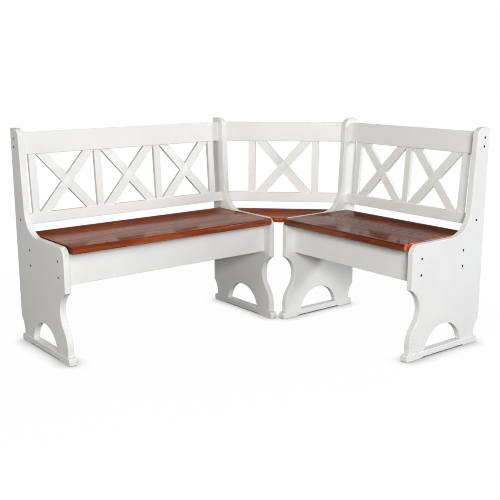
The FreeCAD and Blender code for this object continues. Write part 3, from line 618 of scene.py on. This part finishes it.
def makeMitred(node, height, railHeight):
    # The same section, but each of its points runs until it meets the two inner panels. They stand at 45
    # degrees to it, so its reach is half the diagonal less its depth behind the front.
    section, outward = traceOutline(oblong(0, layout["railThick"], 0, railHeight), rail["edge"])
    place = units["corner"] @ backFrame @ turned(0, 0, height)
    lean = math.radians(layout["backLean"])
    back, rise = section[:, 0] * math.cos(lean), (height + section[:, 1]) * math.sin(lean)
    reach = halfDiagonal - (layout["backDepth"] - back - rise)
    count = len(section)
    points = np.vstack([np.column_stack([end * reach, section]) for end in (-1, 1)])
    quads = gridFaces(2, count)
    sides = np.vstack([np.column_stack([np.zeros(count), outward])] * 2)
    ends = math.sqrt(0.5) * np.repeat([[-1, 1, 0], [1, 1, 0]], count, 0)
    faces = quads.tolist() + [np.arange(count)[::-1].tolist(), (np.arange(count) + count).tolist()]
    normals = np.vstack([sides[quads.reshape(-1)], ends])
    piece = makeObject(node + "_mitred", points, faces, normals, paints["alongDiagonal"], place)
    dress(piece, node)


for unit, grain in (("long", "alongX"), ("short", "alongY")):
    reach = lengths[unit] / 2 - layout["panelThick"]
    back = units[unit] @ backFrame
    for name, rise, height in (("lower", 0, layout["lowerRail"]), ("top", bayTop, layout["topRail"])):
        makeBoard("%s_%s_rail" % (unit, name), layout["railThick"], height, reach,
                  back @ turned(0, 0, rise), grain, rail["edge"])
    bottom = apron["top"] - apron["height"]
    for name, front in (("front", apron["frontDepth"]), ("rear", apron["rearDepth"] + apron["thick"])):
        makeBoard("%s_%s_apron" % (unit, name), apron["thick"], apron["height"], reach,
                  units[unit] @ turned(0, -front, bottom), grain, apron["edge"])
makeMitred("corner_lower_rail", 0, layout["lowerRail"])
makeMitred("corner_top_rail", bayTop, layout["topRail"])


# Stiles and crosses.

slat = {"edge": 1, "endEdge": 0.3, "roundPoints": 4, "tenon": 11.8, "braceEnd": 49, "gap": 0.2,
        "housed": 0.6}
stileCounts = {"long": 4, "short": 3, "corner": 2}


def spread(count):
    # the middles of so many bays or stiles, side by side about X = 0
    return [(i - (count - 1) / 2) * (layout["bayWidth"] + layout["stileWidth"]) for i in range(count)]


def makeBrace(name, lean, place, material):
    # A rounded section carried along the brace on rings that reach from its left long edge to its
    # right one. Ring k meets the edges at the heights left[k] and right[k]; between the rings at the
    # notch, one face of the section stands back to half the thickness.
    reach = layout["bayWidth"] / 2 - slat["gap"]
    height, width, thick = layout["bayHeight"], slat["braceEnd"], layout["slatThick"]
    run = (2 * reach - width) / height
    steep = math.hypot(1, run)
    out, gap, centre = slat["housed"], slat["gap"] / 2, height / 2
    leftCross, rightCross = reach / run + gap, (reach - width) / run - gap
    left = np.array([-out, centre - gap, centre - gap, leftCross, leftCross, height + out])
    right = np.array([-out, rightCross, rightCross, centre + gap, centre + gap, height + out])
    notch = np.array([0, 0, 1, 1, 0, 0]) * thick / 2
    front, rear = (notch, thick + 0 * notch) if lean > 0 else (0 * notch, thick - notch)
    # the section: share runs from the left edge to the right one, depth from the front or rear face
    a = np.linspace(0, math.pi / 2, slat["roundPoints"])
    sine, cosine = np.sin(a), np.cos(a)
    edge, cut = slat["edge"], slat["edge"] / width * steep
    share = np.concatenate([cut * (1 - cosine), 1 - cut * (1 - sine),
                            1 - cut * (1 - cosine), cut * (1 - sine)])
    depth = edge * np.concatenate([1 - sine, 1 - cosine, sine - 1, cosine - 1])
    across = np.concatenate([-cosine, sine, cosine, -sine])
    outward = np.concatenate([-sine, -cosine, sine, cosine])
    isRear = np.repeat([False, False, True, True], len(a))
    leftX, rightX = run * left - reach, run * right - reach + width
    x = leftX[:, None] + (rightX - leftX)[:, None] * share[None]
    z = left[:, None] + (right - left)[:, None] * share[None]
    y = np.where(isRear[None], rear[:, None], front[:, None]) + depth[None]
    points = np.dstack([lean * x, y, z]).reshape(-1, 3)
    ringNormals = np.column_stack([lean * across / steep, outward, -across * run / steep])
    count, rows = len(share), len(left)
    quads = gridFaces(rows, count)[:, ::lean]
    first = np.arange(count)[::-lean]
    last = (np.arange(count) + (rows - 1) * count)[::lean]
    normals = np.vstack([np.vstack([ringNormals] * rows)[quads.reshape(-1)],
                         np.repeat([[0, 0, -1], [0, 0, 1]], count, 0)])
    return makeObject(name, points, quads.tolist() + [first.tolist(), last.tolist()], normals,
                      material, place)


for unit, stiles in stileCounts.items():
    base = units[unit] @ backFrame @ turned(0, slatFront, layout["lowerRail"])
    half = layout["stileWidth"] / 2
    for i, x in enumerate(spread(stiles), start=1):
        node = "%s_stile_%d" % (unit, i)
        piece = makeSlab(node + "_slat", oblong(-half, half, 0, layout["slatThick"]), -slat["tenon"],
                         layout["bayHeight"] + slat["tenon"], slat["endEdge"], base @ turned(x),
                         paints["alongZ"], upright=False, easing=slat["edge"])
        dress(piece, node)
    for i, x in enumerate(spread(stiles - 1), start=1):
        for way, lean in (("rising", 1), ("falling", -1)):
            node = "%s_brace_%d_%s" % (unit, i, way)
            piece = makeBrace(node + "_slat", lean, base @ turned(x), paints["alongZ"])
            dress(piece, node)
print("backs made")


# Seats: boards with a rounded nose.

seat = {"rear": 55, "front": 426, "nose": 9, "under": 4, "edge": 2,
        "cornerRear": 45, "cornerBottom": 423, "cornerGap": 2}


def lidCorners():
    # from the front of the underside back, up, and forwards to the rounded nose
    s, bottom, top = seat, layout["lidBottom"], layout["seatTop"]
    return [
        (-(s["front"] - s["under"]), bottom),
        (-s["rear"], bottom),
        (-s["rear"], top),
        (-(s["front"] - s["nose"]), top, s["nose"]),
        (-s["front"], top - s["nose"]),
        (-s["front"], bottom + s["under"], s["under"]),
    ]


for unit in ("long", "short"):
    reach = lengths[unit] / 2 - layout["panelThick"] - layout["lidGap"]
    piece = makeSlab(unit + "_lid_board", lidCorners(), -reach, reach, seat["edge"], units[unit],
                     stains[unit])
    dress(piece, unit + "_lid", unit + "_lid_body")

seatFront = layout["panelDepth"] / math.sqrt(2)
slack = seat["cornerGap"] * math.sqrt(2)
rearHalf, frontHalf = halfDiagonal - seat["cornerRear"] - slack, halfDiagonal - seatFront - slack
corners = [(-rearHalf, -seat["cornerRear"]), (-frontHalf, -seatFront),
           (frontHalf, -seatFront), (rearHalf, -seat["cornerRear"])]
piece = makeSlab("corner_seat_board", corners, seat["cornerBottom"], layout["armHeight"], seat["edge"],
                 units["corner"], stains["corner"], upright=False)
dress(piece, "corner_seat")
print("seats made")


# What stays from the CAD gets its finish.

finishes = {
    "long_box_floor": woods["alongX"], "long_floor_cleats": woods["alongX"],
    "short_box_floor": woods["alongY"], "short_floor_cleats": woods["alongY"],
    "corner_seat_cleats": woods["alongY"],
    "panel_bolts": boltSteel, "barrel_nuts": hingeSteel, "foot_screws": hingeSteel,
    "frame_screws": hingeSteel,
}
for unit in ("long", "short"):
    for part in ("fixed_leaves", "lid_leaves", "pins"):
        finishes["%s_hinge_%s" % (unit, part)] = hingeSteel
for node, material in finishes.items():
    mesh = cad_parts[node].data
    mesh.materials.clear()
    mesh.materials.append(material)
print("CAD pieces finished")


# Studio: a plain pale floor, soft light, and the camera of the photograph.

ground = {
    "size": 60, "colour": (0.3, 0.293, 0.275), "roughness": 0.9,
    "glow": 1.07, "glowShare": 0.91, "near": 1.2, "far": 2.6, "paintedFootShadow": 0.06,
}


def makeFloor():
    # The camera sees mostly a white glow; light and mirrored rays meet a darker matt floor. Far off the
    # glow is as white as the backdrop; round each foot the glow carries a painted shadow.
    half = ground["size"] / 2
    mesh = bpy.data.meshes.new("floor")
    mesh.from_pydata([(x, y, 0) for x, y in oblong(-half, half, -half, half)], [], [(0, 1, 2, 3)])
    floor = bpy.data.objects.new("floor", mesh)
    bpy.context.scene.collection.objects.link(floor)
    material, tree, shader = newMaterial("floorWhite")
    setInputs(shader, {"Base Color": (*ground["colour"], 1), "Roughness": ground["roughness"],
                       "Specular IOR Level": 0})
    away = lengthNode(tree, tree.nodes.new("ShaderNodeTexCoord").outputs["Object"])
    white = fadeNode(tree, away, ground["near"], ground["far"], ground["glow"], 1 / ground["glowShare"])
    # painted shadow: ambient occlusion darkens the floor's glow round each foot
    paintedFootShadow = tree.nodes.new("ShaderNodeAmbientOcclusion")  # the soft dark rim where a foot stands
    setInputs(paintedFootShadow, {"Distance": ground["paintedFootShadow"]})
    glow = tree.nodes.new("ShaderNodeEmission")
    tree.links.new(mathNode(tree, "MULTIPLY", white, paintedFootShadow.outputs["AO"]), glow.inputs["Strength"])
    seen = tree.nodes.new("ShaderNodeLightPath").outputs["Is Camera Ray"]
    choice = tree.nodes.new("ShaderNodeMixShader")
    tree.links.new(mathNode(tree, "MULTIPLY", seen, ground["glowShare"]), choice.inputs[0])
    tree.links.new(shader.outputs[0], choice.inputs[1])
    tree.links.new(glow.outputs[0], choice.inputs[2])
    tree.links.new(choice.outputs[0], tree.nodes["Material Output"].inputs["Surface"])
    mesh.materials.append(material)


backdrop = {"plain": 0.09, "Is Glossy Ray": 0.02, "Is Transmission Ray": 1.0, "Is Camera Ray": 1.0}


def makeBackdrop():
    # a white world: its strength is the plain level, or the one given for the kind of ray
    world = bpy.data.worlds.new("studio")
    bpy.context.scene.world = world
    world.use_nodes = True
    tree = world.node_tree
    lightPath = tree.nodes.new("ShaderNodeLightPath")
    strength = None
    for ray in ("Is Glossy Ray", "Is Transmission Ray", "Is Camera Ray"):
        level = tree.nodes.new("ShaderNodeMix")
        setInputs(level, {"A": backdrop["plain"], "B": backdrop[ray]})
        tree.links.new(lightPath.outputs[ray], level.inputs["Factor"])
        if strength is not None:
            tree.links.new(strength, level.inputs["A"])
        strength = level.outputs["Result"]
    background = tree.nodes["Background"]
    background.inputs["Color"].default_value = (1, 1, 1, 1)
    tree.links.new(strength, background.inputs["Strength"])


lampAim = (0.1, 0.1, 0.4)
lamps = {  # place and size in m, power in W
    "key": {"place": (-2.25, -3.8, 1.75), "size": (1.3, 1.3), "power": 160,
            "colour": (1.0, 0.985, 0.965)},
    "left": {"place": (-3.7, 0.0, 2.6), "size": (1.4, 1.4), "power": 38, "colour": (1.0, 0.95, 0.88)},
    "side": {"place": (3.3, -2.6, 2.3), "size": (1.6, 0.8), "power": 92, "colour": (0.94, 0.98, 1.0)},
    "top": {"place": (-0.4, -0.8, 4.5), "size": (2.2, 2.2), "power": 10, "colour": (1.0, 1.0, 1.0)},
    "rear": {"place": (3.0, 3.6, 3.2), "size": (2.5, 2.5), "power": 45, "colour": (1.0, 1.0, 1.0)},
}


def makeLamp(name, lamp):
    light = bpy.data.lights.new(name, "AREA")
    light.shape = "RECTANGLE"
    light.size, light.size_y = lamp["size"]
    light.energy = lamp["power"]
    light.color = lamp["colour"]
    holder = bpy.data.objects.new(name, light)
    holder.location = lamp["place"]
    aim = Vector(lampAim) - Vector(lamp["place"])
    holder.rotation_euler = aim.to_track_quat("-Z", "Y").to_euler()
    bpy.context.scene.collection.objects.link(holder)


view = {
    "place": (-2.0014, -2.5328, 1.0883), "yaw": 37.63, "pitch": -12.84, "roll": -0.21,
    "lens": 60.33, "sensor": 36, "shift": (0.0232, 0.0090), "pixelFilter": 1.0,
}


def makeCamera():
    # rolled about its own axis, then tilted up from looking straight down, then turned by the yaw
    optics = bpy.data.cameras.new("camera")
    optics.sensor_width = view["sensor"]
    optics.lens = view["lens"]
    optics.shift_x, optics.shift_y = view["shift"]
    camera = bpy.data.objects.new("camera", optics)
    turn = (Matrix.Rotation(math.radians(-view["yaw"]), 4, "Z")
            @ Matrix.Rotation(math.radians(90 + view["pitch"]), 4, "X")
            @ Matrix.Rotation(math.radians(view["roll"]), 4, "Z"))
    camera.matrix_world = Matrix.Translation(view["place"]) @ turn
    bpy.context.scene.collection.objects.link(camera)
    bpy.context.scene.camera = camera


makeFloor()
makeBackdrop()
for name, lamp in lamps.items():
    makeLamp(name, lamp)
makeCamera()
bpy.context.scene.cycles.filter_width = view["pixelFilter"]
bpy.context.scene.view_settings.view_transform = "Standard"
print("studio made")
